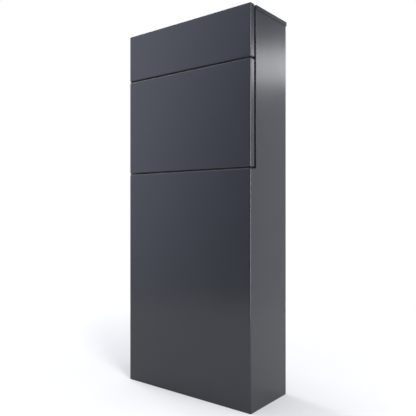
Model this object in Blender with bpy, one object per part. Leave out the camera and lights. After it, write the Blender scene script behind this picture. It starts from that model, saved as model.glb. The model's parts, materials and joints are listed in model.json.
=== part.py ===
"""Free-standing sheet-steel letterbox: a pedestal column with a letter flap over a collection door.

Metres, +Z up. The front faces -Y. The origin is on the floor, under the middle of the column.
"""

import math

import bmesh
import bpy
from mathutils import Matrix, Vector

# Overall size
HEIGHT = 1.150
CASING_WIDTH = 0.484
DEPTH = 0.200

# Sheet metal
SHEET = 0.0012
BASE_SHEET = 0.002
FOLD = 0.0025  # outer radius of a fold
GAP = 0.0003  # between pieces that touch
CLEAR = 0.010  # how far a cutter reaches past what it cuts

# The front: two overlay panels above a pedestal that is one sheet with the sides
LEDGE_Z = 0.687  # top of the pedestal's front
PANEL_GAP = 0.0035  # open line above and below the door
DOOR_HEIGHT = 0.30475
PANEL_DEPTH = 0.020
SHADOW_GAP = 0.0075  # behind the panels' folded edges, as thick as a closed hinge
PANEL_LIP = 0.015

FRONT_Y = -DEPTH / 2
PANEL_BACK_Y = FRONT_Y + PANEL_DEPTH
FRAME_Y = PANEL_BACK_Y + SHADOW_GAP  # front face of the door frame
REAR_Y = DEPTH / 2 - SHEET - GAP  # rear face of the casing, inside the roof's rear lip
HALF_WIDTH = CASING_WIDTH / 2
DOOR_BOTTOM = LEDGE_Z + PANEL_GAP
DOOR_TOP = DOOR_BOTTOM + DOOR_HEIGHT
FLAP_BOTTOM = DOOR_TOP + PANEL_GAP

# The frame round the door opening
FRAME_FLANGE = 0.018
HEADER_FLANGE = 0.012
SILL_TOP = LEDGE_Z + 0.023
HEADER_BOTTOM = DOOR_TOP - 0.017
ROOF_LIP = 0.013
ROOF_FRONT_FLANGE = 0.025
ROOF_FOLD = 0.002
FLOOR_Z = LEDGE_Z + 0.013

# Letter slot and lock, both behind the flap
SLOT_WIDTH = 0.380
SLOT_HEIGHT = 0.040
SLOT_Z = 1.092
SLOT_RIM = 0.006  # of the trim, round the slot
CHUTE_WIDTH = 0.410
LOCK_X = 0.165
LOCK_Z = 1.012
LOCK_BARREL_R = 0.0092
LOCK_BARREL_LENGTH = 0.018
CAM_REACH = 0.048
CATCH_TOP = HEADER_BOTTOM - 0.004
CATCH_WIDTH = 0.030
CATCH_SHEET = 0.0015
CAM_SHEET = 0.002

# Hinges: the same pressed hinge on the door and on the flap
HINGE_INSET = 0.0035  # axis to the panel's outer edge
HINGE_R = 0.00345
HINGE_PIN_R = 0.0015
HINGE_LEAF = 0.011
HINGE_SHEET = 0.0012
HINGE_LENGTH = 0.060
HINGE_FROM_END = 0.060  # middle of a door hinge to the door's end
HINGE_AXIS_Y = PANEL_BACK_Y + SHADOW_GAP / 2
HINGE_AXIS_X = HINGE_INSET - HALF_WIDTH
FLAP_AXIS_Z = HEIGHT - HINGE_INSET
DOOR_HINGES_Z = {"upper": DOOR_TOP - HINGE_FROM_END, "lower": DOOR_BOTTOM + HINGE_FROM_END}
FLAP_HINGES_X = {"left": -0.150, "right": 0.150}

# Base and fasteners
ANCHOR_X = 0.180
ANCHOR_Y = 0.060
ANCHOR_R = 0.006
ANCHOR_PAD = 0.036  # square pad round each anchor hole
ANCHOR_PAD_SHEET = 0.002
BASE_PLATE = 0.003
BASE_HEIGHT = 0.035
BRACE_Z = 0.340
TRAY_FLANGE = 0.016
RIVET_HOLE_R = 0.0019
RIVET_X = HALF_WIDTH - FRAME_FLANGE / 2
RIVETS_PER_SIDE = 5
LOWEST_RIVET_Z = 0.110
HIGHEST_RIVET_Z = 1.100
ROOF_RIVET_X = 0.205
ROOF_RIVET_Z = HEIGHT - 0.019
SCREW_HOLE_R = 0.0024
SCREW_Z = 0.020
BUFFER_R = 0.005
BUFFER_FROM_END = 0.060
SILL_BUFFER_X = 0.150
SEAL_FRONT_Y = FRONT_Y + 0.002
SEAL_WIDTH = 0.008
SEAL_INSET = 0.0005  # from the column's sides

ANTHRACITE = (0.040, 0.047, 0.055)
ZINC = (0.55, 0.56, 0.58)


def finish(name, colour, roughness, metallic):
    material = bpy.data.materials.new(name)
    material.use_nodes = True
    shader = material.node_tree.nodes["Principled BSDF"]
    shader.inputs["Base Color"].default_value = (*colour, 1)
    shader.inputs["Roughness"].default_value = roughness
    shader.inputs["Metallic"].default_value = metallic
    return material


def make_finishes():
    return {
        "powder_coat": finish("powder_coat", ANTHRACITE, 0.42, 0.0),
        "zinc": finish("zinc", ZINC, 0.38, 1.0),
        "chrome": finish("chrome", (0.75, 0.75, 0.76), 0.15, 1.0),
        "rubber": finish("rubber", (0.02, 0.02, 0.021), 0.8, 0.0),
        "plastic": finish("plastic", (0.025, 0.026, 0.028), 0.5, 0.0),
    }


def add_object(name, build, place=None):
    """An object whose mesh build(bm) makes about its own origin; place is its matrix."""
    mesh = bpy.data.meshes.new(name)
    bm = bmesh.new()
    build(bm)
    bmesh.ops.recalc_face_normals(bm, faces=bm.faces)
    bm.to_mesh(mesh)
    bm.free()
    mesh.shade_smooth()
    mesh.set_sharp_from_angle(angle=math.radians(35))
    made = bpy.data.objects.new(name, mesh)
    made.matrix_world = place or Matrix.Identity(4)
    bpy.context.scene.collection.objects.link(made)
    return made


def round_edges(bm, radius, keep_sharp=None):
    """Rounds every straight fold, apart from the edges that keep_sharp(edge) names."""
    edges = [edge for edge in bm.edges if not (keep_sharp and keep_sharp(edge))]
    bmesh.ops.bevel(bm, geom=edges, offset=radius, segments=3, profile=0.5, affect="EDGES")


def is_level(edge):
    return abs(edge.verts[0].co.z - edge.verts[1].co.z) < 1e-6


def block(name, low, high, radius=0.0, keep_sharp=None):
    """A box between two corners, its origin at its centre."""
    low, high = Vector(low), Vector(high)

    def build(bm):
        bmesh.ops.create_cube(bm, size=1, matrix=Matrix.Diagonal((*(high - low), 1)))
        if radius:
            round_edges(bm, radius, keep_sharp)

    return add_object(name, build, Matrix.Translation((low + high) / 2))


def extrude_outline(bm, points, low, high, axis):
    """A prism: points in the two directions that follow axis in X, Y, Z order, from low to high."""
    order = {"X": (0, 1, 2), "Y": (1, 2, 0), "Z": (2, 0, 1)}[axis]

    def at(along, point):
        place = [0.0, 0.0, 0.0]
        for direction, value in zip(order, (along, *point)):
            place[direction] = value
        return place

    face = bm.faces.new([bm.verts.new(at(low, point)) for point in points])
    made = bmesh.ops.extrude_face_region(bm, geom=[face])["geom"]
    shift = Vector(at(high, (0, 0))) - Vector(at(low, (0, 0)))
    bmesh.ops.translate(bm, vec=shift, verts=[v for v in made if isinstance(v, bmesh.types.BMVert)])


def box_between(name, corner, opposite):
    """A sharp box between two corners given in any order."""
    low = [min(pair) for pair in zip(corner, opposite)]
    high = [max(pair) for pair in zip(corner, opposite)]
    return block(name, low, high)


def prism(name, points, low, high, axis):
    return add_object(name, lambda bm: extrude_outline(bm, points, low, high, axis))


def folded_outline(path, thickness, bend=0.002, steps=3):
    """The outline of a strip of sheet whose middle follows path, with round bends."""
    middle = []  # (point, normal)
    for i, point in enumerate(path):
        point = Vector(point)
        before = (point - Vector(path[i - 1])).normalized() if i else None
        after = (Vector(path[i + 1]) - point).normalized() if i + 1 < len(path) else None
        if before is None or after is None:
            along = after or before
            middle.append((point, Vector((-along.y, along.x))))
            continue
        turn = before.angle_signed(after)  # clockwise is positive
        setback = bend * math.tan(abs(turn) / 2)
        side = -1 if turn > 0 else 1
        centre = point - before * setback + side * bend * Vector((-before.y, before.x))
        for step in range(steps + 1):
            angle = -turn * step / steps
            normal = Matrix.Rotation(angle, 2) @ Vector((-before.y, before.x))
            middle.append((centre - side * bend * normal, normal))
    left = [tuple(point + normal * thickness / 2) for point, normal in middle]
    right = [tuple(point - normal * thickness / 2) for point, normal in middle]
    return left + right[::-1]


def turn_outline(bm, outline, segments, place, ring=False):
    """Turns (radius, distance) points about the local Z axis; a ring's outline closes on itself."""
    rows = []
    for radius, distance in outline:
        count = segments if radius > 0 else 1
        angles = [2 * math.pi * i / count for i in range(count)]
        points = [Vector((radius * math.cos(a), radius * math.sin(a), distance)) for a in angles]
        rows.append([bm.verts.new(place @ point) for point in points])
    pairs = list(zip(rows, rows[1:])) + ([(rows[-1], rows[0])] if ring else [])
    for lower, upper in pairs:
        for i in range(segments):
            corners = [lower[i % len(lower)], lower[(i + 1) % len(lower)]]
            corners += [upper[(i + 1) % len(upper)], upper[i % len(upper)]]
            bm.faces.new(list(dict.fromkeys(corners)))


def towards(axis, point=(0, 0, 0)):
    """A matrix that stands local Z along axis at point."""
    turn = Vector((0, 0, 1)).rotation_difference(Vector(axis)).to_matrix().to_4x4()
    return Matrix.Translation(point) @ turn


def turned(name, outline, point, axis=(0, 0, 1), segments=24, ring=False):
    """An outline turned about an axis through point."""

    def build(bm):
        turn_outline(bm, outline, segments, Matrix.Identity(4), ring)

    return add_object(name, build, towards(axis, point))


def drills(name, radius, points, axis, segments=10):
    """One wire guide that drills the same hole at several points."""

    def build(bm):
        for point in points:
            turn_outline(bm, plug_outline(radius, -CLEAR, CLEAR), segments, towards(axis, point))

    return add_object(name, build)


def turned_copies(outline, places, axis, segments=10):
    """The same small turned piece at each named place; the copies share one mesh."""
    copies = []
    for name, point in places.items():
        if copies:
            copy = bpy.data.objects.new(name, copies[0].data)
            copy.matrix_world = towards(axis, point)
            bpy.context.scene.collection.objects.link(copy)
        else:
            copy = turned(name, outline, point, axis, segments)
        copies.append(copy)
    return copies


def plug_outline(radius, low, high):
    return [(0, low), (radius, low), (radius, high), (0, high)]


def cut(piece, *cutters):
    """Subtracts each cutter, which stays in the file as a hidden wire guide."""
    for cutter in cutters:
        cutter.hide_render = True
        cutter.display_type = "WIRE"
        boolean = piece.modifiers.new("cut_" + cutter.name, "BOOLEAN")
        boolean.operation = "DIFFERENCE"
        boolean.solver = "EXACT"
        boolean.object = cutter
    return piece


def paint(finish_used, *pieces):
    for piece in pieces:
        piece.data.materials.clear()
        piece.data.materials.append(finish_used)


def back_rivet_places():
    places = {}
    step = (HIGHEST_RIVET_Z - LOWEST_RIVET_Z) / (RIVETS_PER_SIDE - 1)
    for side, x in (("left", -RIVET_X), ("right", RIVET_X)):
        for i in range(RIVETS_PER_SIDE):
            z = LOWEST_RIVET_Z + step * i
            places[f"back_rivet_{side}_{i + 1}"] = (x, REAR_Y, z)
    return places


def roof_rivet_places():
    across = {"left": -ROOF_RIVET_X, "middle": 0.0, "right": ROOF_RIVET_X}
    return {f"roof_rivet_{name}": (x, FRAME_Y, ROOF_RIVET_Z) for name, x in across.items()}


def base_screw_places():
    across = {"left": -RIVET_X, "middle": 0.0, "right": RIVET_X}
    return {f"base_screw_{name}": (x, REAR_Y, SCREW_Z) for name, x in across.items()}


def anchor_places():
    places = {}
    for row, y in (("front", -ANCHOR_Y), ("rear", ANCHOR_Y)):
        for side, x in (("left", -ANCHOR_X), ("right", ANCHOR_X)):
            places[f"anchor_pad_{row}_{side}"] = (x, y, 0)
    return places


def make_holes():
    """Wire guides for the holes that several sheets share."""
    rear = (0, 1, 0)
    return {
        "rivets": drills(
            "guide_rivet_holes", RIVET_HOLE_R, list(back_rivet_places().values()), rear
        ),
        "screws": drills(
            "guide_screw_holes", SCREW_HOLE_R, list(base_screw_places().values()), rear
        ),
        "roof": drills(
            "guide_roof_holes", RIVET_HOLE_R, list(roof_rivet_places().values()), rear
        ),
    }


def stepped_outline(front_y, ledge_z, frame_y, rear_y, bottom, top):
    """Side view of the column: full depth up to the ledge, set back behind the panels above it."""
    return [
        (front_y, bottom),
        (rear_y, bottom),
        (rear_y, top),
        (frame_y, top),
        (frame_y, ledge_z),
        (front_y, ledge_z),
    ]


def make_casing(holes):
    """Pedestal front, both sides, ledge, sill and frame flanges, folded from one sheet."""
    top = HEIGHT - SHEET - GAP

    def stepped_solid(name, inset, bottom, top_z, radius):
        outline = stepped_outline(
            FRONT_Y + inset, LEDGE_Z - inset, FRAME_Y + inset, REAR_Y - inset, bottom, top_z
        )
        half = HALF_WIDTH - inset

        def is_sharp(edge):
            middle = (edge.verts[0].co + edge.verts[1].co) / 2
            along_x = abs(middle.x) < half / 2
            on_ledge_front = abs(middle.y - FRONT_Y - inset) < 1e-5 and middle.z > LEDGE_Z / 2
            at_end = min(abs(middle.z - bottom), abs(middle.z - top_z)) < 1e-5
            return at_end or (along_x and not on_ledge_front)

        def build(bm):
            extrude_outline(bm, outline, -half, half, "X")
            bmesh.ops.recalc_face_normals(bm, faces=bm.faces)
            round_edges(bm, radius, is_sharp)

        return add_object(name, build)

    casing = stepped_solid("casing", 0.0, 0.0, top, FOLD)
    hollow = stepped_solid("guide_casing_hollow", SHEET, -CLEAR, top + CLEAR, FOLD - SHEET)
    half = HALF_WIDTH - FRAME_FLANGE
    rear_cut = block(
        "guide_rear_opening", (-half, REAR_Y - CLEAR, -CLEAR), (half, REAR_Y + CLEAR, top + CLEAR)
    )
    front_cut = block(
        "guide_front_opening",
        (-half, FRAME_Y - CLEAR, SILL_TOP),
        (half, FRAME_Y + CLEAR, top + CLEAR),
    )
    return cut(casing, hollow, rear_cut, front_cut, holes["rivets"], holes["screws"])


def make_back_panel(holes):
    """Flat rear sheet, inside the casing's rear flanges."""
    edge = HALF_WIDTH - FOLD
    outer_y = REAR_Y - SHEET - GAP
    panel = block(
        "back_panel", (-edge, outer_y - SHEET, 0.0), (edge, outer_y, HEIGHT - SHEET - 2 * GAP)
    )
    return cut(panel, holes["rivets"], holes["screws"])


def make_roof(holes):
    """Shallow lid: lips over the sides and rear, and a deeper flange down the front."""
    half = HALF_WIDTH + GAP + SHEET
    bottom = HEIGHT - ROOF_FRONT_FLANGE
    lip_bottom = HEIGHT - ROOF_LIP
    flange_half = HALF_WIDTH - FRAME_FLANGE - GAP
    under = HEIGHT - SHEET

    def below_the_top(edge):
        return min(v.co.z for v in edge.verts) < 0

    roof = block(
        "roof",
        (-half, FRAME_Y, bottom),
        (half, DEPTH / 2, HEIGHT),
        radius=ROOF_FOLD,
        keep_sharp=below_the_top,
    )
    lid_hollow = block(
        "guide_roof_hollow",
        (SHEET - half, FRAME_Y + SHEET, bottom - CLEAR),
        (half - SHEET, DEPTH / 2 - SHEET, under),
    )
    lip_trim = block(
        "guide_roof_lip_trim",
        (-half - CLEAR, FRAME_Y + SHEET, bottom - CLEAR),
        (half + CLEAR, DEPTH / 2 + CLEAR, lip_bottom),
    )
    corners = []
    for side, name in ((-1, "left"), (1, "right")):
        corners.append(
            box_between(
                f"guide_roof_corner_{name}",
                (side * flange_half, FRAME_Y - CLEAR, bottom - CLEAR),
                (side * (half - SHEET), FRAME_Y + 2 * SHEET, under),
            )
        )
        corners.append(
            box_between(
                f"guide_roof_corner_low_{name}",
                (side * (flange_half + SHEET), FRAME_Y - CLEAR, bottom - CLEAR),
                (side * (half + CLEAR), FRAME_Y + 2 * SHEET, lip_bottom),
            )
        )
    return cut(roof, lid_hollow, lip_trim, *corners, holes["roof"])


def make_header(holes):
    """Fixed plate behind the flap, with the letter slot and the lock's hole."""
    front_y = FRAME_Y + SHEET + GAP
    half = HALF_WIDTH - FOLD
    path = [
        (front_y + HEADER_FLANGE, HEADER_BOTTOM + SHEET / 2),
        (front_y + SHEET / 2, HEADER_BOTTOM + SHEET / 2),
        (front_y + SHEET / 2, HEIGHT - SHEET - 2 * GAP),
    ]
    header = prism("header_plate", folded_outline(path, SHEET), -half, half, "X")
    slot = block(
        "guide_letter_slot",
        (-SLOT_WIDTH / 2, front_y - CLEAR, SLOT_Z - SLOT_HEIGHT / 2),
        (SLOT_WIDTH / 2, front_y + CLEAR, SLOT_Z + SLOT_HEIGHT / 2),
    )
    lock_hole = turned(
        "guide_lock_hole",
        plug_outline(LOCK_BARREL_R + GAP, -CLEAR, CLEAR),
        (LOCK_X, front_y, LOCK_Z),
        (0, 1, 0),
    )
    return cut(header, slot, lock_hole, holes["roof"])


def make_slot_trim():
    """Moulded edge guard that clips into the letter slot."""
    wall, proud, depth = 0.0012, 0.002, 0.005
    front_y = FRAME_Y + SHEET
    behind, beyond = front_y, front_y + 2 * CLEAR
    half_x, half_z = SLOT_WIDTH / 2 - GAP, SLOT_HEIGHT / 2 - GAP
    rim_x, rim_z = half_x + SLOT_RIM, half_z + SLOT_RIM
    trim = block(
        "slot_trim",
        (-rim_x, front_y - proud, SLOT_Z - rim_z),
        (rim_x, front_y + depth, SLOT_Z + rim_z),
    )
    mouth = block(
        "guide_slot_mouth",
        (wall - half_x, front_y - CLEAR, SLOT_Z - half_z + wall),
        (half_x - wall, beyond, SLOT_Z + half_z - wall),
    )
    sleeve = []
    wide, tall = rim_x + CLEAR, rim_z + CLEAR
    for side, name in ((-1, "low"), (1, "high")):
        sleeve.append(
            box_between(
                f"guide_trim_z_{name}",
                (-wide, behind, SLOT_Z + side * half_z),
                (wide, beyond, SLOT_Z + side * tall),
            )
        )
        sleeve.append(
            box_between(
                f"guide_trim_x_{name}",
                (side * half_x, behind, SLOT_Z - tall),
                (side * wide, beyond, SLOT_Z + tall),
            )
        )
    return cut(trim, mouth, *sleeve)


def make_chute():
    """Sloping plate under the slot: it turns letters downwards and keeps hands out."""
    behind_header = FRAME_Y + 2 * SHEET + 2 * GAP + SHEET / 2
    top = SLOT_Z - SLOT_HEIGHT / 2 - 0.008
    weld_flange, fall, end_y, end_lip = 0.020, 0.035, 0.005, 0.012
    path = [
        (behind_header, top - weld_flange),
        (behind_header, top),
        (end_y, top - fall),
        (end_y + end_lip / 2, top - fall - end_lip),
    ]
    half = CHUTE_WIDTH / 2
    return prism("mail_chute", folded_outline(path, SHEET), -half, half, "X")


def make_tray_shelf(name, top_z, front_y, flange):
    """A plate with four flanges folded down, fitted between the casing's walls."""
    half = HALF_WIDTH - SHEET - GAP
    rear_y = REAR_Y - 2 * SHEET - 2 * GAP
    shelf = block(
        name, (-half, front_y, top_z - flange), (half, rear_y, top_z), FOLD, is_level
    )
    hollow = block(
        f"guide_{name}_hollow",
        (SHEET - half, front_y + SHEET, top_z - flange - CLEAR),
        (half - SHEET, rear_y - SHEET, top_z - SHEET),
    )
    return cut(shelf, hollow)


def make_base(holes):
    """The part that is bolted to the ground: a plate with a pad round each anchor hole, and a
    welded frame that the column slides down over and is screwed to."""
    wall = SHEET + GAP
    half = HALF_WIDTH - wall
    front_y, rear_y = FRONT_Y + wall, REAR_Y - 2 * wall
    plate = block("base_plate", (-half, front_y, 0.0), (half, rear_y, BASE_PLATE), FOLD, is_level)
    places = anchor_places()
    drill = drills("guide_anchor_holes", ANCHOR_R, list(places.values()), (0, 0, 1), segments=16)
    cut(plate, drill)

    bottom = BASE_PLATE + GAP
    half_pad = Vector((ANCHOR_PAD / 2, ANCHOR_PAD / 2, 0))
    pads = []
    for name, (x, y, z) in places.items():
        low = Vector((x, y, bottom)) - half_pad
        high = Vector((x, y, bottom + ANCHOR_PAD_SHEET)) + half_pad
        pads.append(cut(block(name, low, high), drill))

    frame = block(
        "base_frame", (-half, front_y, bottom), (half, rear_y, BASE_HEIGHT), FOLD, is_level
    )
    hollow = block(
        "guide_base_hollow",
        (BASE_SHEET - half, front_y + BASE_SHEET, bottom - CLEAR),
        (half - BASE_SHEET, rear_y - BASE_SHEET, BASE_HEIGHT + CLEAR),
    )
    return plate, cut(frame, hollow, holes["screws"]), *pads


def make_fasteners():
    grip = 2 * SHEET + GAP  # two sheets
    rivet = [
        (0, -grip - 0.0025),
        (0.0023, -grip - 0.0018),
        (0.0023, -grip - GAP),
        (0.0016, -grip - GAP),
        (0.0016, GAP),
        (0.0032, GAP),
        (0.0029, 0.0008),
        (0.0016, 0.0014),
        (0, 0.0015),
    ]
    screw = [
        (0, -0.012),
        (0.0020, -0.0115),
        (0.0020, GAP),
        (0.0038, GAP),
        (0.0036, 0.0009),
        (0.0026, 0.0015),
        (0.0014, 0.0015),
        (0.0014, 0.0007),
        (0, 0.0007),
    ]
    rear, front = (0, 1, 0), (0, -1, 0)
    return (
        turned_copies(rivet, back_rivet_places(), rear)
        + turned_copies(rivet, roof_rivet_places(), front)
        + turned_copies(screw, base_screw_places(), rear, segments=12)
    )


def make_panel(name, bottom, top):
    """A hollow folded panel: front skin, four returns, and lips turned in behind."""
    front = (-HALF_WIDTH, FRONT_Y, bottom)
    back = (HALF_WIDTH, PANEL_BACK_Y, top)
    panel = block(name, front, back, radius=FOLD)
    hollow = block(
        f"guide_{name}_hollow",
        Vector(front) + Vector((SHEET, SHEET, SHEET)),
        Vector(back) - Vector((SHEET, SHEET, SHEET)),
        radius=FOLD - SHEET,
    )
    window = block(
        f"guide_{name}_window",
        (PANEL_LIP - HALF_WIDTH, PANEL_BACK_Y - PANEL_DEPTH / 2, bottom + PANEL_LIP),
        (HALF_WIDTH - PANEL_LIP, PANEL_BACK_Y + CLEAR, top - PANEL_LIP),
    )
    return cut(panel, hollow, window)


def make_stiffener():
    """Top-hat section down the middle of the door's inner face."""
    inner = FRONT_Y + SHEET + GAP + SHEET / 2
    crown = inner + 0.0105
    half, web, from_lip = 0.032, 0.018, 0.004
    path = [(-half, inner), (-web, inner), (-web, crown), (web, crown), (web, inner), (half, inner)]
    bottom = DOOR_BOTTOM + PANEL_LIP + from_lip
    top = DOOR_TOP - PANEL_LIP - from_lip
    return prism("door_stiffener", folded_outline(path, SHEET), bottom, top, "Z")


def make_catch():
    """Bracket on the door, whose hook stands behind the lock's cam."""
    foot, hook, behind_cam = 0.028, 0.024, 0.0021
    inner = FRONT_Y + SHEET + GAP + CATCH_SHEET / 2
    hook_y = FRAME_Y + SHEET + GAP + LOCK_BARREL_LENGTH + CAM_SHEET + GAP + behind_cam
    shelf = CATCH_TOP - hook
    path = [(inner, shelf - foot), (inner, shelf), (hook_y, shelf), (hook_y, CATCH_TOP)]
    half = CATCH_WIDTH / 2
    outline = folded_outline(path, CATCH_SHEET)
    return prism("door_catch", outline, LOCK_X - half, LOCK_X + half, "X")


def curled_leaf_outline(side):
    """A hinge leaf and the knuckle rolled at its end; side is the way that its flat faces."""
    inner = HINGE_R - HINGE_SHEET
    start = 90.0
    finish_angle = 450 - math.degrees(math.acos(inner / HINGE_R))
    steps = 14
    arc = []
    for i in range(steps + 1):
        angle = math.radians(start + (finish_angle - start) * i / steps)
        arc.append((HINGE_R * math.cos(angle), side * HINGE_R * math.sin(angle)))
    return arc + [(HINGE_LEAF, side * inner), (HINGE_LEAF, side * HINGE_R)]


def make_hinge(name, moving_name, place):
    """Frame leaf, moving leaf and pin. Local Z is the pin, local X the leaves' way, and
    local +Y the frame's side."""
    half = HINGE_LENGTH / 2
    middle = HINGE_LENGTH / 6  # half the length of the middle knuckle
    play = 0.0005

    def leaf(piece_name, side, cuts):
        outline = curled_leaf_outline(side)
        made = add_object(
            piece_name, lambda bm: extrude_outline(bm, outline, -half, half, "Z"), place
        )
        bore = turned(
            f"guide_{piece_name}_bore",
            plug_outline(HINGE_PIN_R + GAP, -half - CLEAR, half + CLEAR),
            (0, 0, 0),
            segments=16,
        )
        bore.matrix_world = place
        guides = [bore]
        reach = HINGE_R + 2 * GAP
        for i, (low, high) in enumerate(cuts):
            notch = block(
                f"guide_{piece_name}_notch_{i}", (-reach, -reach, low), (reach, reach, high)
            )
            notch.matrix_world = place @ notch.matrix_world
            guides.append(notch)
        return cut(made, *guides)

    frame_leaf = leaf(f"{name}_frame_leaf", 1, [(-middle, middle)])
    ends = [(-half - CLEAR, play - middle), (middle - play, half + CLEAR)]
    moving_leaf = leaf(f"{name}_{moving_name}_leaf", -1, ends)
    head_r, head, crown = 0.0024, 0.0008, 0.0012
    outline = [
        (0, -half - crown),
        (head_r, -half - head),
        (head_r, -half - GAP),
        (HINGE_PIN_R, -half - GAP),
        (HINGE_PIN_R, half + GAP),
        (head_r, half + GAP),
        (head_r, half + head),
        (0, half + crown),
    ]
    pin = turned(f"{name}_pin", outline, (0, 0, 0), segments=12)
    pin.matrix_world = place
    return frame_leaf, moving_leaf, pin


def make_lock():
    """Cam lock on the header plate: fixed barrel and nut, turning plug, cam and screw."""
    plate_front = FRAME_Y + SHEET + GAP
    axis, centre = (0, 1, 0), (LOCK_X, plate_front, LOCK_Z)
    end = LOCK_BARREL_LENGTH
    plug_r, stub_r, screw_r = 0.0063, 0.004, 0.0015
    bore_r = plug_r + GAP
    collar, collar_r, chamfer = 0.0028, 0.0110, 0.0006
    housing = turned(
        "lock_housing",
        [
            (bore_r, -collar),
            (collar_r - chamfer, -collar),
            (collar_r, chamfer - collar),
            (collar_r, -GAP),
            (LOCK_BARREL_R, -GAP),
            (LOCK_BARREL_R, end),
            (bore_r, end),
        ],
        centre,
        axis,
        segments=32,
        ring=True,
    )
    nut_width, nut_height = 0.025, 0.004
    nut = turned(
        "lock_nut",
        plug_outline(nut_width / 2 / math.cos(math.pi / 6), 0, nut_height),
        (LOCK_X, plate_front + SHEET + GAP, LOCK_Z),
        axis,
        segments=6,
    )
    nut_bore = turned(
        "guide_nut_bore",
        plug_outline(LOCK_BARREL_R + GAP, -CLEAR, 2 * CLEAR),
        centre,
        axis,
    )
    cut(nut, nut_bore)

    proud = collar + 2 * chamfer
    stub_end = end + CAM_SHEET + 0.0022
    plug = turned(
        "lock_plug",
        [
            (0, -proud),
            (plug_r - chamfer, -proud),
            (plug_r, chamfer - proud),
            (plug_r, end),
            (stub_r, end),
            (stub_r, stub_end),
            (0, stub_end),
        ],
        centre,
        axis,
        segments=28,
    )
    key_width, key_height, key_depth = 0.0012, 0.0076, 0.008
    keyway = block(
        "guide_keyway",
        (LOCK_X - key_width / 2, plate_front - CLEAR, LOCK_Z - key_height / 2),
        (LOCK_X + key_width / 2, plate_front + key_depth, LOCK_Z + key_height / 2),
    )
    thread_depth = 0.008
    thread = turned(
        "guide_cam_thread",
        plug_outline(screw_r + GAP, stub_end - thread_depth, stub_end + CLEAR),
        centre,
        axis,
        segments=12,
    )
    cut(plug, keyway, thread)

    cam = make_cam(plate_front + end + GAP, stub_r)
    tip, head_r, head, crown = stub_end - thread_depth + 0.001, 0.0052, 0.0020, 0.0024
    screw = turned(
        "lock_cam_screw",
        [
            (0, tip),
            (screw_r, tip),
            (screw_r, stub_end + GAP),
            (head_r, stub_end + GAP),
            (head_r, stub_end + head),
            (0, stub_end + crown),
        ],
        centre,
        axis,
        segments=16,
    )
    return (housing, nut), (plug, cam, screw)


def make_cam(front_y, stub_r):
    """Flat bar with a round boss; it points along +X when unlocked."""
    boss, half, corner = 0.010, 0.0075, 0.002
    start = math.asin(half / boss)
    steps = 12
    outline = []
    for i in range(steps + 1):
        angle = start + 2 * (math.pi - start) * i / steps
        outline.append((boss * math.cos(angle), boss * math.sin(angle)))
    outline += [(CAM_REACH - corner, -half), (CAM_REACH, corner - half)]
    outline += [(CAM_REACH, half - corner), (CAM_REACH - corner, half)]
    points = [(LOCK_Z - z, LOCK_X + x) for x, z in outline]
    cam = prism("lock_cam", points, front_y, front_y + CAM_SHEET, "Y")
    bore = turned(
        "guide_cam_bore",
        plug_outline(stub_r + GAP, -CLEAR, CLEAR),
        (LOCK_X, front_y, LOCK_Z),
        (0, 1, 0),
    )
    return cut(cam, bore)


def make_buffers():
    """Rubber buffers, pushed on to the frame's face where the panels' lips come to rest."""
    sill_z = (LEDGE_Z + SILL_TOP) / 2
    flap_z = FLAP_BOTTOM + 0.012
    places = {
        "door_buffer_sill_left": (-SILL_BUFFER_X, FRAME_Y, sill_z),
        "door_buffer_sill_right": (SILL_BUFFER_X, FRAME_Y, sill_z),
        "door_buffer_side_low": (RIVET_X, FRAME_Y, DOOR_BOTTOM + BUFFER_FROM_END),
        "door_buffer_side_high": (RIVET_X, FRAME_Y, DOOR_TOP - BUFFER_FROM_END),
        "flap_buffer_left": (-RIVET_X, FRAME_Y, flap_z),
        "flap_buffer_right": (RIVET_X, FRAME_Y, flap_z),
    }
    height, chamfer = SHADOW_GAP - GAP, 0.0015
    outline = [
        (0, GAP),
        (BUFFER_R, GAP),
        (BUFFER_R, height - chamfer),
        (BUFFER_R - chamfer, height),
        (0, height),
    ]
    return turned_copies(outline, places, (0, -1, 0), segments=16)


def make_seals():
    """Foam strips in the open lines under and over the door: one on the ledge, one on the door."""
    half = HALF_WIDTH - SEAL_INSET
    rear_y = SEAL_FRONT_Y + SEAL_WIDTH
    return [
        block(name, (-half, SEAL_FRONT_Y, z + GAP), (half, rear_y, z + PANEL_GAP - GAP))
        for name, z in (("ledge_seal", LEDGE_Z), ("door_seal", DOOR_TOP))
    ]


def joint_axis(name, point):
    axis = bpy.data.objects.new(name, None)
    axis.empty_display_size = 0.05
    axis.location = point
    bpy.context.scene.collection.objects.link(axis)
    return axis


def hang(pieces, axis):
    """Parents pieces to a joint's empty and leaves them where they are."""
    bpy.context.view_layer.update()
    for piece in pieces:
        piece.parent = axis
        piece.matrix_parent_inverse = axis.matrix_world.inverted()


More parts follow.
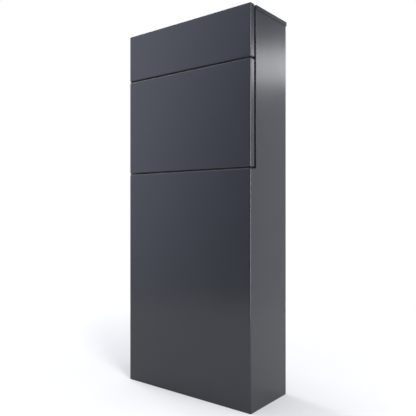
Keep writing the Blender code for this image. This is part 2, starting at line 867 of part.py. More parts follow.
def build_model():
    finishes = make_finishes()
    holes = make_holes()

    casing = make_casing(holes)
    back_panel = make_back_panel(holes)
    roof = make_roof(holes)
    header = make_header(holes)
    chute = make_chute()
    floor = make_tray_shelf(
        "compartment_floor", FLOOR_Z, FRAME_Y + SHEET + GAP, TRAY_FLANGE
    )
    brace = make_tray_shelf("pedestal_brace", BRACE_Z, FRONT_Y + SHEET + GAP, TRAY_FLANGE)
    paint(finishes["powder_coat"], casing, back_panel, roof, header, chute, floor)
    paint(finishes["zinc"], brace, *make_base(holes), *make_fasteners())
    paint(finishes["plastic"], make_slot_trim())
    ledge_seal, door_seal = make_seals()
    paint(finishes["rubber"], *make_buffers(), ledge_seal, door_seal)

    door = make_panel("door_panel", DOOR_BOTTOM, DOOR_TOP)
    stiffener = make_stiffener()
    catch = make_catch()
    flap = make_panel("flap_panel", FLAP_BOTTOM, HEIGHT)
    paint(finishes["powder_coat"], door, flap)
    paint(finishes["zinc"], stiffener, catch)

    door_parts, flap_parts = [door, stiffener, catch, door_seal], [flap]
    for place_name, z in DOOR_HINGES_Z.items():
        place = Matrix.Translation((HINGE_AXIS_X, HINGE_AXIS_Y, z))
        leaves = make_hinge(f"door_hinge_{place_name}", "door", place)
        door_parts.append(leaves[1])
        paint(finishes["zinc"], *leaves)
    for place_name, x in FLAP_HINGES_X.items():
        turn = Matrix(((0, 0, 1), (0, 1, 0), (-1, 0, 0))).to_4x4()
        place = Matrix.Translation((x, HINGE_AXIS_Y, FLAP_AXIS_Z)) @ turn
        leaves = make_hinge(f"flap_hinge_{place_name}", "flap", place)
        flap_parts.append(leaves[1])
        paint(finishes["zinc"], *leaves)

    fixed_lock, turning_lock = make_lock()
    paint(finishes["chrome"], *fixed_lock, *turning_lock)

    hang(door_parts, joint_axis("door_axis", (HINGE_AXIS_X, HINGE_AXIS_Y, DOOR_BOTTOM)))
    hang(flap_parts, joint_axis("flap_axis", (0, HINGE_AXIS_Y, FLAP_AXIS_Z)))
    hang(turning_lock, joint_axis("lock_axis", (LOCK_X, FRAME_Y, LOCK_Z)))


for old in list(bpy.data.objects):
    bpy.data.objects.remove(old)
build_model()
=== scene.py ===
import json
import math

import bmesh
import bpy
from mathutils import Matrix, Vector


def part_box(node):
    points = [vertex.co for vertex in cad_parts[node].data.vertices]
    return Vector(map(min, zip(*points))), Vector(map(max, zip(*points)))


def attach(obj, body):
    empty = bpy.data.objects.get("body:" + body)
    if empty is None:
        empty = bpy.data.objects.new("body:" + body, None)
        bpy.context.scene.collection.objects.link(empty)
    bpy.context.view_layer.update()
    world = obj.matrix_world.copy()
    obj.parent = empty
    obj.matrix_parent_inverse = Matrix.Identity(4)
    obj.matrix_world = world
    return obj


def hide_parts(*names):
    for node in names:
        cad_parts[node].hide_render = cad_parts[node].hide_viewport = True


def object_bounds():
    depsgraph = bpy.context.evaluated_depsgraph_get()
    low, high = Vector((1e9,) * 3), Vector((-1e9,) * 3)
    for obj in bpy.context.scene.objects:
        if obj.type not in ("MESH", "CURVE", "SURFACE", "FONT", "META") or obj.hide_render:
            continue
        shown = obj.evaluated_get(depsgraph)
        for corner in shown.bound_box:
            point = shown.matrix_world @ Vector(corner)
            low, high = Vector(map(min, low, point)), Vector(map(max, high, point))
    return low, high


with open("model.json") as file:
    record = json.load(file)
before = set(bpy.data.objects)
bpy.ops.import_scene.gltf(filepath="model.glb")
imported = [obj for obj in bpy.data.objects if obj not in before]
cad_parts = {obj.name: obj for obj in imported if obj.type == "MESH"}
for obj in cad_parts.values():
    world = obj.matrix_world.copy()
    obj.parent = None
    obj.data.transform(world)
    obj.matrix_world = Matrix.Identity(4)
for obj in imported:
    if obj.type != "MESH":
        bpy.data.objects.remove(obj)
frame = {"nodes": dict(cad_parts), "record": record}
cadBox = [list(corner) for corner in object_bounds()]
bodyOf = {
    node: body
    for body, nodes in frame["record"]["behaviour"]["bodies"].items()
    for node in nodes
}
slotOf = {part["node"]: part["material_slot"] for part in frame["record"]["subparts"]}
gap = 0.0003  # the frame leaves this between pieces that touch
near = 1e-5  # points closer than this lie on the same plane
print("frame loaded:", len(frame["nodes"]), "nodes")


class Wire:
    # one output of a shader node, so that shader maths reads as sums
    def __init__(self, finish, socket):
        self.finish = finish
        self.socket = socket

    def join(self, operation, first, second):
        kinds = [item.socket.type for item in (first, second) if isinstance(item, Wire)]
        if "RGBA" in kinds:
            blend = {"data_type": "RGBA", "blend_type": operation}
            return self.finish.node("ShaderNodeMix", blend, {"Factor": 1, "A": first, "B": second})
        kind = "ShaderNodeVectorMath" if "VECTOR" in kinds else "ShaderNodeMath"
        return self.finish.node(kind, {"operation": operation}, {0: first, 1: second})

    def __add__(self, other):
        return self.join("ADD", self, other)

    def __radd__(self, other):
        return self.join("ADD", other, self)

    def __sub__(self, other):
        return self.join("SUBTRACT", self, other)

    def __rsub__(self, other):
        return self.join("SUBTRACT", other, self)

    def __mul__(self, other):
        return self.join("MULTIPLY", self, other)

    def __rmul__(self, other):
        return self.join("MULTIPLY", other, self)


class Finish:
    # a material, or the world, and the nodes in it
    def __init__(self, owner):
        self.owner = owner
        owner.use_nodes = True
        self.tree = owner.node_tree
        self.tree.nodes.clear()

    def node(self, kind, settings=None, sockets=None, output=None):
        made = self.tree.nodes.new(kind)
        for key, value in (settings or {}).items():
            if key == "stops":
                steps = made.color_ramp.elements
                while len(steps) < len(value):
                    steps.new(1)
                for step, (position, level) in zip(steps, value):
                    step.position = position
                    step.color = (level, level, level, 1)
            else:
                setattr(made, key, value)
        for key, value in (sockets or {}).items():
            found = [s for i, s in enumerate(made.inputs) if key in (i, s.name) and s.enabled]
            self.feed(found[0], value)
        outputs = [s for s in made.outputs if s.enabled and output in (None, s.name)]
        return Wire(self, outputs[0]) if outputs else None

    def feed(self, socket, value):
        if isinstance(value, Wire):
            self.tree.links.new(value.socket, socket)
        elif socket.type == "RGBA":
            colour = (value,) * 3 if isinstance(value, (int, float)) else tuple(value)
            socket.default_value = (*colour, 1)
        elif socket.type == "VECTOR" and isinstance(value, (int, float)):
            socket.default_value = (value,) * 3
        else:
            socket.default_value = value

    def place(self):
        return self.node("ShaderNodeTexCoord", output="Object")

    def cloud(self, size, detail=2.0, stretch=(1, 1, 1)):
        # soft noise from 0 to 1, whose lumps are about size metres across
        spot = self.place() * stretch if stretch != (1, 1, 1) else self.place()
        sockets = {"Vector": spot, "Scale": 1 / size, "Detail": detail}
        return self.node("ShaderNodeTexNoise", {}, sockets, "Fac")

    def ramp(self, factor, *stops):
        return self.node("ShaderNodeValToRGB", {"stops": stops}, {"Fac": factor}, "Color")

    def between(self, factor, low, high):
        blend = {"data_type": "RGBA"}
        return self.node("ShaderNodeMix", blend, {"Factor": factor, "A": low, "B": high})

    def facing(self, direction):
        # how much the surface faces a direction of its own piece
        normal = self.node("ShaderNodeTexCoord", output="Normal")
        settings = {"operation": "DOT_PRODUCT"}
        return self.node("ShaderNodeVectorMath", settings, {0: normal, 1: direction}, "Value")

    def surface(self, height, **sockets):
        # height is in metres
        words = {name.replace("_", " "): value for name, value in sockets.items()}
        bump = self.node("ShaderNodeBump", {}, {"Strength": 1, "Distance": 1, "Height": height})
        shader = self.node("ShaderNodeBsdfPrincipled", {}, {**words, "Normal": bump})
        self.node("ShaderNodeOutputMaterial", {}, {"Surface": shader})
        return self.owner


def newFinish(name):
    return Finish(bpy.data.materials.new(name))


def powderCoat():
    look = {
        "dark": (0.0072, 0.0086, 0.0128),
        "light": (0.0094, 0.0110, 0.0156),
        "dust": (0.16, 0.155, 0.145),
        "dustAmount": 0.10,
        "roughness": 0.205,
        "gloss": 0.50,
        "peelSize": 0.0019,  # orange peel of the cured powder
        "peelDepth": 0.000010,
        "grainSize": 0.00045,
        "grainDepth": 0.0000016,
        "waveSize": 0.16,  # the sheet is never quite flat
        "waveDepth": 0.00022,
    }
    coat = newFinish("powderCoat")
    patch = coat.cloud(0.09, 3)
    peel = coat.cloud(look["peelSize"], 1.5)
    grain = coat.cloud(look["grainSize"], 1)
    wave = coat.cloud(look["waveSize"], 0)
    settled = coat.ramp(coat.facing((0, 0, 1)), (0.75, 0), (0.98, 1)) * coat.ramp(
        coat.cloud(0.035, 5), (0.35, 0.25), (0.70, 1)
    )
    dust = settled * look["dustAmount"]
    fleck = coat.ramp(grain, (0.35, 0.94), (0.68, 1.06))
    colour = coat.between(patch, look["dark"], look["light"]) * fleck
    height = (
        peel * look["peelDepth"] + grain * look["grainDepth"] + wave * look["waveDepth"]
    )
    return coat.surface(
        height,
        Base_Color=coat.between(dust, colour, look["dust"]),
        Roughness=look["roughness"] + (patch - 0.5) * 0.06 + dust * 1.6,
        Specular_IOR_Level=look["gloss"],
    )


def zincPlate():
    look = {
        "dull": (0.22, 0.23, 0.245),
        "bright": (0.38, 0.39, 0.41),
        "spangle": 0.0042,
        "roughness": 0.34,
        "rolling": 0.0005,  # faint lines from the rolling mill
    }
    zinc = newFinish("zincPlate")
    sockets = {"Vector": zinc.place(), "Scale": 1 / look["spangle"]}
    spangle = zinc.node("ShaderNodeTexVoronoi", {}, sockets, "Color")
    flake = zinc.node("ShaderNodeSeparateColor", {}, {"Color": spangle}, "Red")
    lines = zinc.cloud(look["rolling"], 3, (1, 1, 0.04))
    stain = zinc.cloud(0.018, 4)
    shade = flake * 0.5 + stain * 0.5
    return zinc.surface(
        lines * 0.0000012 + stain * 0.000006,
        Base_Color=zinc.between(shade, look["dull"], look["bright"]),
        Roughness=look["roughness"] + (flake - 0.5) * 0.12 + (lines - 0.5) * 0.10,
        Metallic=1.0,
    )


def chromePlate():
    look = {"colour": (0.66, 0.66, 0.67), "smudged": (0.50, 0.50, 0.50), "roughness": 0.10}
    chrome = newFinish("chromePlate")
    smudge = chrome.ramp(chrome.cloud(0.006, 4), (0.45, 0), (0.70, 1))
    hairline = chrome.cloud(0.00025, 2, (1, 0.1, 1))
    return chrome.surface(
        hairline * 0.0000004 + chrome.cloud(0.004, 1) * 0.000004,
        Base_Color=chrome.between(smudge * 0.5, look["colour"], look["smudged"]),
        Roughness=look["roughness"] + smudge * 0.16 + hairline * 0.05,
        Metallic=1.0,
    )


def bufferRubber():
    # black rubber whose fresh and chalky colours are both painted darker than the rubber's own, as
    # painted shade, so that the seals in the panel gaps read as deep shadow
    look = {"fresh": (0.004, 0.004, 0.0045), "chalky": (0.010, 0.010, 0.0095), "roughness": 0.80}
    rubber = newFinish("bufferRubber")
    bloom = rubber.cloud(0.0025, 4)
    skin = rubber.cloud(0.0003, 2)
    return rubber.surface(
        skin * 0.000012,
        Base_Color=rubber.between(bloom, look["fresh"], look["chalky"]),
        Specular_IOR_Level=0.25,
        Roughness=look["roughness"] + (bloom - 0.5) * 0.25,
    )


def mouldedPlastic():
    look = {"dark": (0.016, 0.017, 0.019), "light": (0.025, 0.026, 0.029), "roughness": 0.42}
    plastic = newFinish("mouldedPlastic")
    grain = plastic.cloud(0.0006, 2)  # spark-eroded texture of the mould
    flow = plastic.cloud(0.02, 3, (0.3, 1, 1))
    return plastic.surface(
        plastic.ramp(grain, (0.40, 0), (0.60, 1)) * 0.000010,
        Base_Color=plastic.between(flow, look["dark"], look["light"]),
        Roughness=look["roughness"] + (grain - 0.5) * 0.20,
    )


finishes = {
    "powder_coat": powderCoat(),
    "zinc": zincPlate(),
    "chrome": chromePlate(),
    "rubber": bufferRubber(),
    "plastic": mouldedPlastic(),
}
print("finishes mixed:", len(finishes))


def blockMesh(low, high):
    bm = bmesh.new()
    place = Matrix.Translation((low + high) / 2) @ Matrix.Diagonal((*(high - low), 1))
    bmesh.ops.create_cube(bm, size=1, matrix=place)
    return bm


def spaced(axis, along, pair):
    # a point from its place along an axis and its other two coordinates, in X, Y, Z order
    if axis == "X":
        return Vector((along, pair[0], pair[1]))
    if axis == "Y":
        return Vector((pair[1], along, pair[0]))
    return Vector((pair[0], pair[1], along))


def prismMesh(outline, low, high, axis):
    bm = bmesh.new()
    ends = [[bm.verts.new(spaced(axis, along, pair)) for pair in outline] for along in (low, high)]
    for end in ends:
        bm.faces.new(end)
    for i in range(len(outline)):
        bm.faces.new((ends[0][i - 1], ends[0][i], ends[1][i], ends[1][i - 1]))
    bmesh.ops.recalc_face_normals(bm, faces=bm.faces)
    return bm


def stripMesh(path, stations, axis):
    # an open sheet: a bent line drawn out along an axis, with a row of edges at each station
    bm = bmesh.new()
    rows = [[bm.verts.new(spaced(axis, along, pair)) for pair in path] for along in stations]
    for low, high in zip(rows, rows[1:]):
        for i in range(len(path) - 1):
            bm.faces.new((low[i], low[i + 1], high[i + 1], high[i]))
    return bm


def bentPath(corners, bend, steps=8):
    # straight runs joined by round bends
    corners = [Vector(corner) for corner in corners]
    points = [corners[0]]
    for before, corner, after in zip(corners, corners[1:], corners[2:]):
        back, ahead = (before - corner).normalized(), (after - corner).normalized()
        half = back.angle(ahead) / 2
        centre = corner + (back + ahead).normalized() * bend / math.sin(half)
        start = corner + back * bend / math.tan(half) - centre
        end = corner + ahead * bend / math.tan(half) - centre
        turn = start.angle_signed(end)
        for step in range(steps + 1):
            points.append(centre + Matrix.Rotation(-turn * step / steps, 2) @ start)
    return points + [corners[-1]]


def turnedMesh(profile, steps, lobes=None):
    # (radius, along) points turned about local Z; lobes waves the points that it names
    bm = bmesh.new()
    rows = []
    for i, (radius, along) in enumerate(profile):
        row = []
        for step in range(steps if radius > 0 else 1):
            angle = 2 * math.pi * step / steps
            wave = (lobes or {}).get(i, 0) * math.cos(6 * angle)  # six, as in a torx socket
            reach = radius * (1 + wave)
            row.append(bm.verts.new((reach * math.cos(angle), reach * math.sin(angle), along)))
        rows.append(row)
    for lower, upper in zip(rows, rows[1:]):
        for i in range(steps):
            corners = [lower[i % len(lower)], lower[(i + 1) % len(lower)]]
            corners += [upper[(i + 1) % len(upper)], upper[i % len(upper)]]
            bm.faces.new(list(dict.fromkeys(corners)))
    if profile[0][0] > 0 and profile[-1][0] > 0:
        bmesh.ops.bridge_loops(bm, edges=[e for e in bm.edges if e.is_boundary])
    bmesh.ops.recalc_face_normals(bm, faces=bm.faces)
    return bm


def towards(axis, point):
    # stands local Z along an axis at a point
    turn = Vector((0, 0, 1)).rotation_difference(Vector(axis)).to_matrix().to_4x4()
    return Matrix.Translation(point) @ turn


def seat(node, y, way=1):
    # stands local Z along Y, to the rear (1) or the front (-1), on a node's middle line
    low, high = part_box(node)
    return towards((0, way, 0), ((low.x + high.x) / 2, y, (low.z + high.z) / 2))


def moveMesh(bm, place):
    bmesh.ops.transform(bm, matrix=place, verts=bm.verts)
    return bm


def middleOf(edge):
    return (edge.verts[0].co + edge.verts[1].co) / 2


def roundFolds(bm, radius, steps, isFold=None):
    folds = [edge for edge in bm.edges if isFold is None or isFold(middleOf(edge), edge)]
    bmesh.ops.bevel(
        bm, geom=folds, offset=radius, segments=steps, profile=0.5, affect="EDGES"
    )


def sliceAt(bm, axis, *levels):
    for level in levels:
        normal = Vector((axis == "X", axis == "Y", axis == "Z"))
        every = bm.verts[:] + bm.edges[:] + bm.faces[:]
        bmesh.ops.bisect_plane(bm, geom=every, dist=1e-7, plane_co=normal * level, plane_no=normal)


def dropFaces(bm, isGone):
    gone = [face for face in bm.faces if isGone(face.calc_center_median(), face.normal)]
    bmesh.ops.delete(bm, geom=gone, context="FACES")


def objectFrom(name, bm):
    mesh = bpy.data.meshes.new(name)
    bm.to_mesh(mesh)
    bm.free()
    made = bpy.data.objects.new(name, mesh)
    bpy.context.scene.collection.objects.link(made)
    return made


def settle(piece):
    # turns the modifiers so far into plain mesh
    bpy.context.view_layer.update()
    graph = bpy.context.evaluated_depsgraph_get()
    mesh = bpy.data.meshes.new_from_object(piece.evaluated_get(graph))
    old = piece.data
    piece.modifiers.clear()
    piece.data = mesh
    bpy.data.meshes.remove(old)


def carve(piece, cutterMesh):
    cutter = objectFrom("cutter", cutterMesh)
    boolean = piece.modifiers.new("carve", "BOOLEAN")
    boolean.object = cutter
    settle(piece)
    mesh = cutter.data
    bpy.data.objects.remove(cutter)
    bpy.data.meshes.remove(mesh)


def thicken(piece, sheet, side=-1.0):
    solid = piece.modifiers.new("sheet", "SOLIDIFY")
    solid.thickness = sheet
    solid.offset = side
    solid.use_even_offset = True
    solid.use_quality_normals = True
    settle(piece)


def easeEdges(piece, width, angle=38):
    # breaks the cut edges, and keeps the flats flat in the light
    if width:
        bevel = piece.modifiers.new("easedEdges", "BEVEL")
        bevel.width = width
        bevel.segments = 2
        bevel.limit_method = "ANGLE"
        bevel.angle_limit = math.radians(angle)
    weighted = piece.modifiers.new("flatFlats", "WEIGHTED_NORMAL")
    weighted.keep_sharp = True


def smooth(piece, width, angle=38):
    for polygon in piece.data.polygons:
        polygon.use_smooth = True
    if not width:
        piece.data.set_sharp_from_angle(angle=math.radians(angle))
    easeEdges(piece, width, angle)


def fit(piece, node):
    # finish, material slot and body come from the frame's node that the piece stands for
    piece.data.materials.clear()
    piece.data.materials.append(finishes[slotOf[node]])
    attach(piece, bodyOf[node])
    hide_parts(node)
    return piece


def pieceName(node):
    # base_screw_left becomes baseScrewLeft
    first, *others = node.split("_")
    return first + "".join(word.title() for word in others)


def turnedPiece(node, profile, place, steps, lobes=None):
    piece = objectFrom(pieceName(node), turnedMesh(profile, steps, lobes))
    piece.data.transform(place)
    smooth(piece, 0, 32)
    return fit(piece, node)


sheet = 0.0012
casingLow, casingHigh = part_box("casing")
rearY = casingHigh.y
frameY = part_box("roof")[0].y  # face of the frame that the door and the flap close on
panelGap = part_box("flap_panel")[0].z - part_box("door_panel")[1].z
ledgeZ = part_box("door_panel")[0].z - panelGap
casingFlange = 0.018
flangeX = casingHigh.x - casingFlange  # inner edge of the casing's folded flanges


def makeCasing():
    look = {"fold": 0.0032, "foldSteps": 10, "frameFold": 0.0018, "sill": 0.023, "rim": 0.00022}
    look["shortestFold"] = 0.1
    low, high = casingLow, casingHigh
    outline = [
        (low.y, low.z),
        (high.y, low.z),
        (high.y, high.z),
        (frameY, high.z),
        (frameY, ledgeZ),
        (low.y, ledgeZ),
    ]
    bm = prismMesh(outline, low.x, high.x, "X")

    def isFrontFold(middle, edge):
        return low.z + near < middle.z < ledgeZ + near and middle.y < frameY - near

    def isOtherFold(middle, edge):
        upright = abs(edge.verts[0].co.z - edge.verts[1].co.z) > look["shortestFold"]
        return upright and middle.y > frameY - near and abs(edge.verts[0].co.x) > high.x - near

    roundFolds(bm, look["fold"], look["foldSteps"], isFrontFold)
    roundFolds(bm, look["frameFold"], look["foldSteps"], isOtherFold)
    sill = ledgeZ + look["sill"]
    sliceAt(bm, "X", -flangeX, flangeX)
    sliceAt(bm, "Z", sill)

    def isOpen(middle, normal):
        capped = abs(normal.z) > 0.99 and not low.z + near < middle.z < high.z - near
        behind = middle.y > high.y - near and abs(middle.x) < flangeX
        doorway = abs(middle.y - frameY) < near and abs(middle.x) < flangeX and middle.z > sill
        return capped or behind or doorway

    dropFaces(bm, isOpen)
    piece = objectFrom("casingSheet", bm)
    thicken(piece, sheet)
    smooth(piece, look["rim"])
    return fit(piece, "casing")


def makeTray(name, node):
    # a folded front: skin, four returns, and lips turned in behind with mitred corners
    look = {"fold": 0.0032, "foldSteps": 10, "lip": 0.015, "rim": 0.00022}
    look["mitre"] = {"width": 0.0006, "reach": 0.003, "uncut": 0.001}
    low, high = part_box(node)
    bm = blockMesh(low, high)
    roundFolds(bm, look["fold"], look["foldSteps"])
    lip = Vector((look["lip"], 0, look["lip"]))
    inLow, inHigh = low + lip, high - lip
    sliceAt(bm, "X", inLow.x, inHigh.x)
    sliceAt(bm, "Z", inLow.z, inHigh.z)

    def isWindow(middle, normal):
        inX, inZ = inLow.x < middle.x < inHigh.x, inLow.z < middle.z < inHigh.z
        return normal.y > 0.99 and inX and inZ

    dropFaces(bm, isWindow)
    piece = objectFrom(name, bm)
    thicken(piece, sheet)
    mitre = look["mitre"]
    length = (look["lip"] - look["fold"]) * math.sqrt(2) - mitre["uncut"]
    half = Vector((mitre["width"] / 2, mitre["reach"], length))
    for outX, x in ((-1, inLow.x), (1, inHigh.x)):
        for outZ, z in ((-1, inLow.z), (1, inHigh.z)):
            turn = Matrix.Rotation(math.radians(45) * outX * outZ, 4, "Y")
            place = Matrix.Translation((x, high.y, z)) @ turn
            carve(piece, moveMesh(blockMesh(-half, half), place))
    smooth(piece, look["rim"])
    return fit(piece, node)


def makeRoof():
    look = {"fold": 0.002, "foldSteps": 8, "lip": 0.013, "rim": 0.00022, "inset": 0.00004}
    inset = Vector((look["inset"],) * 3)  # the eased rims swell a little past the sheet
    low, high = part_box("roof")
    low, high = low + inset, high - inset
    bm = blockMesh(low, high)
    roundFolds(bm, look["fold"], look["foldSteps"], lambda middle, edge: middle.z > high.z - near)
    lipZ = high.z - look["lip"]
    flange = flangeX - gap
    sliceAt(bm, "X", -flange, flange)
    sliceAt(bm, "Z", lipZ, high.z - look["fold"])

    def isGone(middle, normal):
        bottom = normal.z < -0.99
        front = normal.y < -0.99
        clipped = front and abs(middle.x) > flange
        belowLip = not front and middle.z < lipZ
        return bottom or clipped or belowLip

    dropFaces(bm, isGone)
    piece = objectFrom("roofLid", bm)
    thicken(piece, sheet)
    smooth(piece, look["rim"])
    return fit(piece, "roof")


def makeBackPanel():
    look = {"waves": (2, 3), "depth": 0.0003, "columns": 24, "rows": 48, "rim": 0.0002}
    look["hollowShare"], look["rippleShare"] = 0.6, 0.4
    low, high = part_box("back_panel")
    bm = bmesh.new()
    grid = []
    for row in range(look["rows"] + 1):
        v = row / look["rows"]
        line = []
        for column in range(look["columns"] + 1):
            u = column / look["columns"]
            hollow = math.sin(math.pi * u) * math.sin(math.pi * v)
            across, up = look["waves"]
            ripple = abs(math.sin(across * math.pi * u) * math.sin(up * math.pi * v))
            dip = look["hollowShare"] * hollow + look["rippleShare"] * ripple * hollow
            dip *= look["depth"]
            x, z = low.x + (high.x - low.x) * u, low.z + (high.z - low.z) * v
            line.append(bm.verts.new((x, high.y - dip, z)))
        grid.append(line)
    for lower, upper in zip(grid, grid[1:]):
        for i in range(look["columns"]):
            bm.faces.new((lower[i + 1], lower[i], upper[i], upper[i + 1]))
    piece = objectFrom("backSheet", bm)
    thicken(piece, high.y - low.y - look["depth"])
    smooth(piece, look["rim"])
    return fit(piece, "back_panel")


def makeHeader():
    look = {"bend": 0.002, "rim": 0.0002, "trimRim": 0.0057, "lockHole": 0.0095, "drill": 0.01}
    low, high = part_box("header_plate")
    trimLow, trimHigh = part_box("slot_trim")
    middleY = low.y + sheet / 2
    path = [(high.y, low.z + sheet / 2), (middleY, low.z + sheet / 2), (middleY, high.z)]
    slotX = trimHigh.x - look["trimRim"]
    bm = stripMesh(bentPath(path, look["bend"]), (low.x, -slotX, slotX, high.x), "X")
    slotLow, slotHigh = trimLow.z + look["trimRim"], trimHigh.z - look["trimRim"]
    sliceAt(bm, "Z", slotLow, slotHigh)
    dropFaces(
        bm, lambda middle, normal: abs(middle.x) < slotX and slotLow < middle.z < slotHigh
    )
    piece = objectFrom("headerSheet", bm)
    thicken(piece, sheet, 0)
    hole, reach = look["lockHole"], look["drill"]
    drill = turnedMesh([(0, -reach), (hole, -reach), (hole, reach), (0, reach)], 48)
    carve(piece, moveMesh(drill, seat("lock_housing", middleY)))
    smooth(piece, look["rim"])
    return fit(piece, "header_plate")


def makeSlotTrim():
    look = {"rim": 0.0072, "wall": 0.0012, "innerCorner": 0.0025, "steps": 10}
    look["round"], look["roundSteps"] = 0.0009, 4
    low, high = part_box("slot_trim")
    plateY = frameY + sheet
    middle = (low + high) / 2
    halfX, halfZ = high.x - middle.x - look["rim"], high.z - middle.z - look["rim"]
    r, corner = look["round"], look["innerCorner"]

    def quarter(centre, startDegrees):
        points = []
        for step in range(look["roundSteps"] + 1):
            angle = math.radians(startDegrees + 90 * step / look["roundSteps"])
            points.append((centre[0] + r * math.cos(angle), centre[1] + r * math.sin(angle)))
        return points

    profile = [(0, high.y)]
    profile += quarter((r, low.y + r), 180)
    profile += quarter((look["rim"] - r, low.y + r), 270)
    profile += [(look["rim"], plateY), (look["wall"], plateY), (look["wall"], high.y)]
    bm = bmesh.new()
    rows = []
    for number, (signX, signZ) in enumerate(((1, 1), (-1, 1), (-1, -1), (1, -1))):
        centre = Vector((signX * (halfX - corner), 0, signZ * (halfZ - corner)))
        for step in range(look["steps"] + 1):
            angle = math.radians(90 * number + 90 * step / look["steps"])
            out = Vector((math.cos(angle), 0, math.sin(angle)))
            row = []
            for reach, y in profile:
                point = middle + centre + out * (corner + reach)
                row.append(bm.verts.new((point.x, y, point.z)))
            rows.append(row)
    for before, after in zip(rows, rows[1:] + rows[:1]):
        for i in range(len(profile)):
            bm.faces.new((before[i - 1], before[i], after[i], after[i - 1]))
    bmesh.ops.recalc_face_normals(bm, faces=bm.faces)
    piece = objectFrom("slotTrim", bm)
    smooth(piece, 0, 40)
    return fit(piece, "slot_trim")


def makeChute():
    look = {"weldFlange": 0.020, "fall": 0.035, "lip": 0.012, "bend": 0.002, "rim": 0.0002}
    look["belowTrim"] = 0.0023
    low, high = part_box("mail_chute")
    behindY = low.y + sheet / 2
    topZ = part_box("slot_trim")[0].z - look["belowTrim"]
    endY = high.y - look["lip"] / 2 - sheet / 2
    upturn = look["fall"] + look["lip"] - look["weldFlange"]
    path = [
        (behindY, low.z + upturn + sheet / 2),
        (behindY, topZ),
        (endY, topZ - look["fall"]),
        (endY + look["lip"] / 2, low.z + sheet / 2),
    ]
    piece = objectFrom("chuteSheet", stripMesh(bentPath(path, look["bend"]), (low.x, high.x), "X"))
    thicken(piece, sheet, 0)
    smooth(piece, look["rim"])
    return fit(piece, "mail_chute")


def makeStiffener():
    look = {"web": 0.018, "bend": 0.002, "rim": 0.0002}
    low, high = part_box("door_stiffener")
    inner, crown = low.y + sheet / 2, high.y - sheet / 2
    web = look["web"]
    path = [
        (low.x, inner), (-web, inner), (-web, crown), (web, crown), (web, inner), (high.x, inner),
    ]
    stations = (low.z, high.z)
    piece = objectFrom("doorStiffener", stripMesh(bentPath(path, look["bend"]), stations, "Z"))
    thicken(piece, sheet, 0)
    smooth(piece, look["rim"])
    return fit(piece, "door_stiffener")


def makeCatch():
    look = {"sheet": 0.0015, "foot": 0.028, "bend": 0.002, "rim": 0.0002}
    low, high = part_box("door_catch")
    half = look["sheet"] / 2
    inner, hookY, shelfZ = low.y + half, high.y - half, low.z + look["foot"]
    path = [(inner, low.z), (inner, shelfZ), (hookY, shelfZ), (hookY, high.z)]
    stations = (low.x, high.x)
    piece = objectFrom("doorCatch", stripMesh(bentPath(path, look["bend"]), stations, "X"))
    thicken(piece, look["sheet"], 0)
    smooth(piece, look["rim"])
    return fit(piece, "door_catch")


sheetPieces = [
    makeCasing(),
    makeTray("doorTray", "door_panel"),
    makeTray("flapTray", "flap_panel"),
    makeRoof(),
    makeBackPanel(),
    makeHeader(),
    makeSlotTrim(),
    makeChute(),
    makeStiffener(),
    makeCatch(),
]
print("folded sheets:", len(sheetPieces))


def makeHinge(node, moving, turn):
    look = {
        "radius": 0.00345,
        "sheet": 0.0012,
        "leaf": 0.011,
        "notch": 0.0041,  # clears the other leaf's knuckles
        "play": 0.0005,
        "rim": 0.00015,
        "curl": 312,
        "curlSteps": 30,
        "pin": {"radius": 0.0015, "head": 0.0024, "crown": 0.0012, "steps": 28},
    }
    pinLow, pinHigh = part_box(f"{node}_pin")
    leafLow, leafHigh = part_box(f"{node}_frame_leaf")
    place = Matrix.Translation((pinLow + pinHigh) / 2) @ turn
    half = max(leafHigh - leafLow) / 2
    knuckle = half / 3
    curl = look["radius"] - look["sheet"] / 2
    steps = look["curlSteps"]
    arc = [math.radians(90 + look["curl"] * i / steps) for i in range(steps + 1)]
    made = []
    for word, side in (("frame", 1), (moving, -1)):
        path = [(look["leaf"], side * curl), (look["notch"], side * curl)]
        path += [(curl * math.cos(a), side * curl * math.sin(a)) for a in arc]
        inner = knuckle if side > 0 else knuckle - look["play"]
        bm = stripMesh(path, (-half, -inner, inner, half), "Z")

        def isNotch(middle, normal):
            inMiddle = abs(middle.z) < inner
            return middle.x < look["notch"] and (inMiddle if side > 0 else not inMiddle)

        dropFaces(bm, isNotch)
        piece = objectFrom(pieceName(f"{node}_{word}_leaf"), bm)
        thicken(piece, look["sheet"], 0)
        piece.data.transform(place)
        smooth(piece, look["rim"], 50)
        made.append(fit(piece, f"{node}_{word}_leaf"))

    pinR, head, crown, pinSteps = (
        look["pin"][word] for word in ("radius", "head", "crown", "steps")
    )
    profile = [(0, -half - crown)]
    profile += [
        (head * math.sin(a), -half - gap - (crown - gap) * math.cos(a))
        for a in (0.5, 0.9, 1.2, 1.45)
    ]
    profile += [(head, -half - gap), (pinR, -half - gap)]
    profile += [(radius, -along) for radius, along in reversed(profile)]
    made.append(turnedPiece(f"{node}_pin", profile, place, pinSteps))
    return made


upright = Matrix.Identity(4)
lying = Matrix(((0, 0, 1), (0, 1, 0), (-1, 0, 0))).to_4x4()
hinges = []
for word in ("upper", "lower"):
    hinges += makeHinge(f"door_hinge_{word}", "door", upright)
for word in ("left", "right"):
    hinges += makeHinge(f"flap_hinge_{word}", "flap", lying)
print("hinge pieces:", len(hinges))


